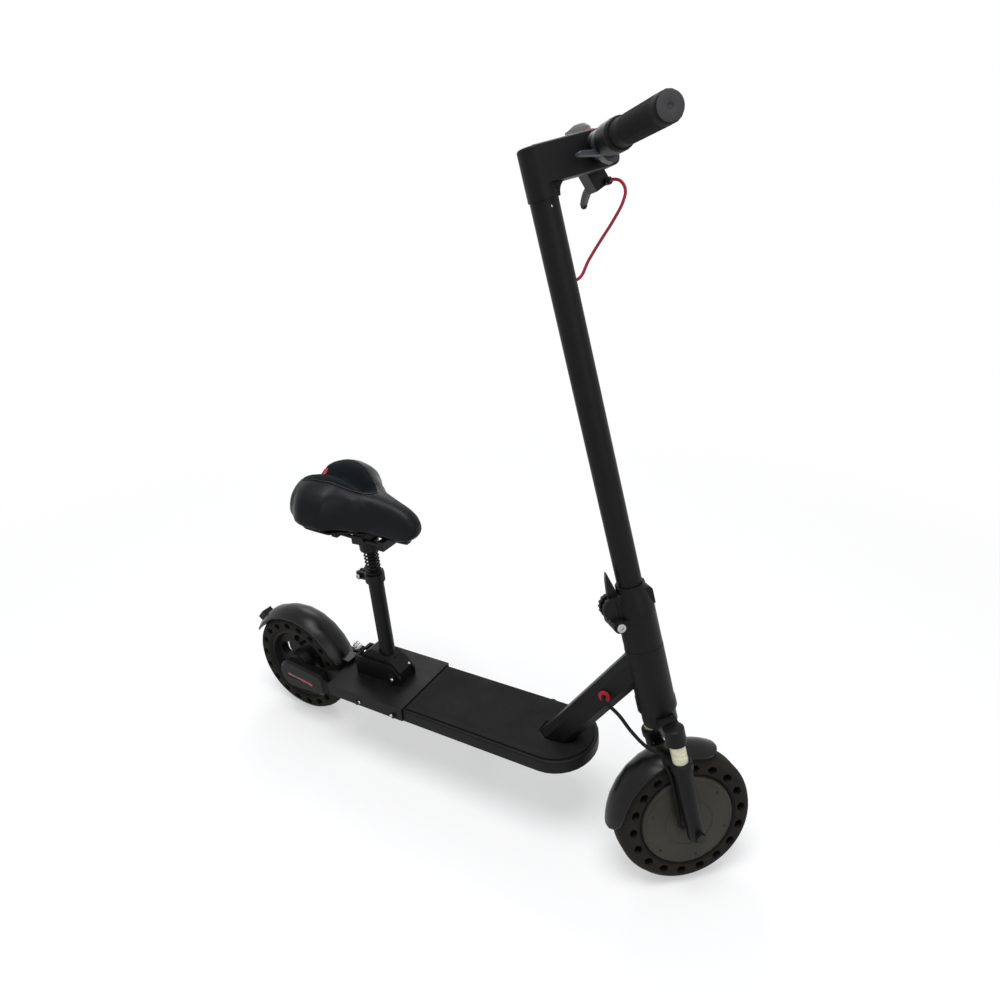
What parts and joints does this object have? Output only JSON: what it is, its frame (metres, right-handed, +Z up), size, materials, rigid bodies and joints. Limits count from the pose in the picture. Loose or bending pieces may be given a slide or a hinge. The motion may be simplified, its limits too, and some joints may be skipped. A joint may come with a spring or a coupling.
{
  "type": "seated electric scooter",
  "caption": "Folding electric kick scooter with a sprung saddle on a telescopic post, front hub motor, suspension fork, holed solid tyres and a folding stem with display.",
  "frame": {"origin": "on the ground under the rear axle, in the middle plane", "axes": "+X forwards, +Y to the rider's left, +Z up; the steering stands turned to the left as in the picture"},
  "size_m": [0.9882, 0.3258, 1.1029],
  "materials": {
    "paint": "satin dark grey powder coat, fine grain",
    "dark_plastic": "satin black moulding",
    "gloss_fender": "smooth dark grey moulding with a bright sheen",
    "tread_rubber": "matt dark grey solid tyre",
    "rubber": "matt black rubber",
    "red_rubber": "bright red cable sheath",
    "steel": "bright machined steel",
    "cream_stanchion": "smooth cream grey stanchion",
    "leather": "dark grey grained cover",
    "dark_glass": "black glossy panel",
    "light_grey": "light grey lever blade",
    "red_lens": "dark red lens"
  },
  "bodies": {
    "frame": {"deck_frame": "paint", "deck_mat": "rubber", "deck_bottom_cover": "paint", "battery_pack": "dark_plastic", "neck_frame": "paint", "neck_grommet": "red_rubber", "rear_dropouts": "paint", "rear_axle": "steel", "rear_cover_right": "dark_plastic", "rear_cover_left": "dark_plastic", "rear_fender": "gloss_fender", "tail_light": "red_lens", "seat_base": "paint", "seat_tube": "paint", "seat_collar": "dark_plastic", "brake_caliper": "steel"},
    "steer": {"fork_crown": "paint", "stanchion_left": "cream_stanchion", "stanchion_right": "cream_stanchion", "fold_base": "paint", "fold_pivot_bolt": "steel", "motor_cable_upper": "rubber"},
    "fork_lower": {"fork_leg_left": "paint", "fork_leg_right": "paint", "front_fender": "gloss_fender", "front_axle": "steel", "motor_cable_lower": "rubber"},
    "front_wheel": {"front_tyre": "tread_rubber", "hub_motor": "dark_plastic"},
    "rear_wheel": {"rear_tyre": "tread_rubber", "rear_rim": "paint", "brake_disc": "steel"},
    "stem": {"stem_tube": "paint", "fold_clamp": "paint", "latch_housing": "dark_plastic", "display_head": "paint", "display_panel": "dark_glass", "headlight": "dark_glass", "handlebar": "paint", "grip_right": "rubber", "grip_left": "rubber", "throttle_housing": "dark_plastic", "brake_bracket": "dark_plastic", "bell_dome": "steel", "brake_cable": "red_rubber"},
    "fold_lever": {"fold_lever": "dark_plastic"},
    "throttle_lever": {"throttle_lever": "light_grey"},
    "brake_lever": {"brake_lever": "paint"},
    "bell_striker": {"bell_striker": "dark_plastic"},
    "power_button": {"power_button": "red_rubber"},
    "kickstand": {"kickstand_leg": "paint"},
    "charge_cap": {"charge_cap": "rubber"},
    "seat_clamp_lever": {"seat_clamp_lever": "dark_plastic"},
    "seat_latch_pin": {"seat_latch_pin": "steel"},
    "brake_arm": {"brake_arm": "steel"},
    "seat_post": {"seat_post": "paint", "seat_spring": "paint"},
    "saddle": {"saddle_clamp": "dark_plastic", "saddle_shell": "dark_plastic", "saddle_cushion": "leather"}
  },
  "joints": [
    {"name": "steer", "type": "hinge", "parent": "frame", "child": "steer", "pos_m": [0.783, 0, 0.10809], "axis": [-0.274, 0, 0.9617], "range_deg": [-95, 5], "deforming": ["motor_cable_upper"]},
    {"name": "stem_fold", "type": "hinge", "parent": "steer", "child": "stem", "pos_m": [0.66495, -0.02333, 0.43734], "axis": [0.6801, -0.7071, 0.1937], "range_deg": [0, 75]},
    {"name": "fold_lever", "type": "hinge", "parent": "stem", "child": "fold_lever", "pos_m": [0.66155, -0.01803, 0.46861], "axis": [0.6801, -0.7071, 0.1937], "range_deg": [0, 55]},
    {"name": "front_suspension", "type": "slide", "parent": "steer", "child": "fork_lower", "axis": [-0.274, 0, 0.9617], "range_m": [0, 0.022], "stiffness_N_per_m": 10000, "springref_m": -0.012, "deforming": ["motor_cable_lower", "motor_cable_upper"]},
    {"name": "front_wheel_spin", "type": "hinge", "parent": "fork_lower", "child": "front_wheel", "pos_m": [0.783, 0, 0.10809], "axis": [-0.6801, 0.7071, -0.1937], "continuous": true},
    {"name": "rear_wheel_spin", "type": "hinge", "parent": "frame", "child": "rear_wheel", "pos_m": [0, 0, 0.108], "axis": [0, 1, 0], "continuous": true},
    {"name": "brake_lever", "type": "hinge", "parent": "stem", "child": "brake_lever", "pos_m": [0.55062, 0.09774, 1.00186], "axis": [0.5513, 0.6674, 0.5007], "range_deg": [0, 20], "stiffness_Nm_per_rad": 1.5, "springref_deg": -17.19},
    {"name": "brake_arm", "type": "hinge", "parent": "frame", "child": "brake_arm", "pos_m": [0.026, 0.0408, 0.15303], "axis": [0, 1, 0], "range_deg": [0, 24]},
    {"name": "throttle_lever", "type": "hinge", "parent": "stem", "child": "throttle_lever", "pos_m": [0.60337, 0.01344, 1.05615], "axis": [0.6801, -0.7071, 0.1937], "range_deg": [0, 20], "stiffness_Nm_per_rad": 0.4, "springref_deg": -17.19},
    {"name": "bell_striker", "type": "hinge", "parent": "stem", "child": "bell_striker", "pos_m": [0.5086, 0.09369, 1.05202], "axis": [-0.274, 0, 0.9617], "range_deg": [0, 35], "stiffness_Nm_per_rad": 0.05, "springref_deg": -17.19},
    {"name": "power_button", "type": "slide", "parent": "stem", "child": "power_button", "axis": [0.274, 0, -0.9617], "range_m": [0, 0.0015], "stiffness_N_per_m": 800, "springref_m": -0.001},
    {"name": "kickstand", "type": "hinge", "parent": "frame", "child": "kickstand", "pos_m": [0.33128, 0.0825, 0.12856], "axis": [0, 1, 0], "range_deg": [0, 85]},
    {"name": "charge_cap", "type": "hinge", "parent": "frame", "child": "charge_cap", "pos_m": [0.52547, 0.0756, 0.14827], "axis": [-0.9983, 0, -0.0576], "range_deg": [0, 100]},
    {"name": "seat_height", "type": "slide", "parent": "frame", "child": "seat_post", "axis": [-0.0854, 0, 0.9963], "range_m": [0, 0.1]},
    {"name": "seat_suspension", "type": "slide", "parent": "seat_post", "child": "saddle", "axis": [0.0854, 0, -0.9963], "range_m": [0, 0.014], "stiffness_N_per_m": 12000, "springref_m": -0.006, "deforming": ["seat_spring"]},
    {"name": "seat_clamp_lever", "type": "hinge", "parent": "frame", "child": "seat_clamp_lever", "pos_m": [0.17664, 0.0153, 0.36148], "axis": [-0.0854, 0, 0.9963], "range_deg": [0, 110]},
    {"name": "seat_latch_pin", "type": "slide", "parent": "frame", "child": "seat_latch_pin", "axis": [-0.8934, 0, 0.4493], "range_m": [0, 0.008], "stiffness_N_per_m": 500, "springref_m": -0.006}
  ],
  "couplings": [
    {"joint": "brake_arm", "follows": "brake_lever", "ratio": 1.2}
  ]
}
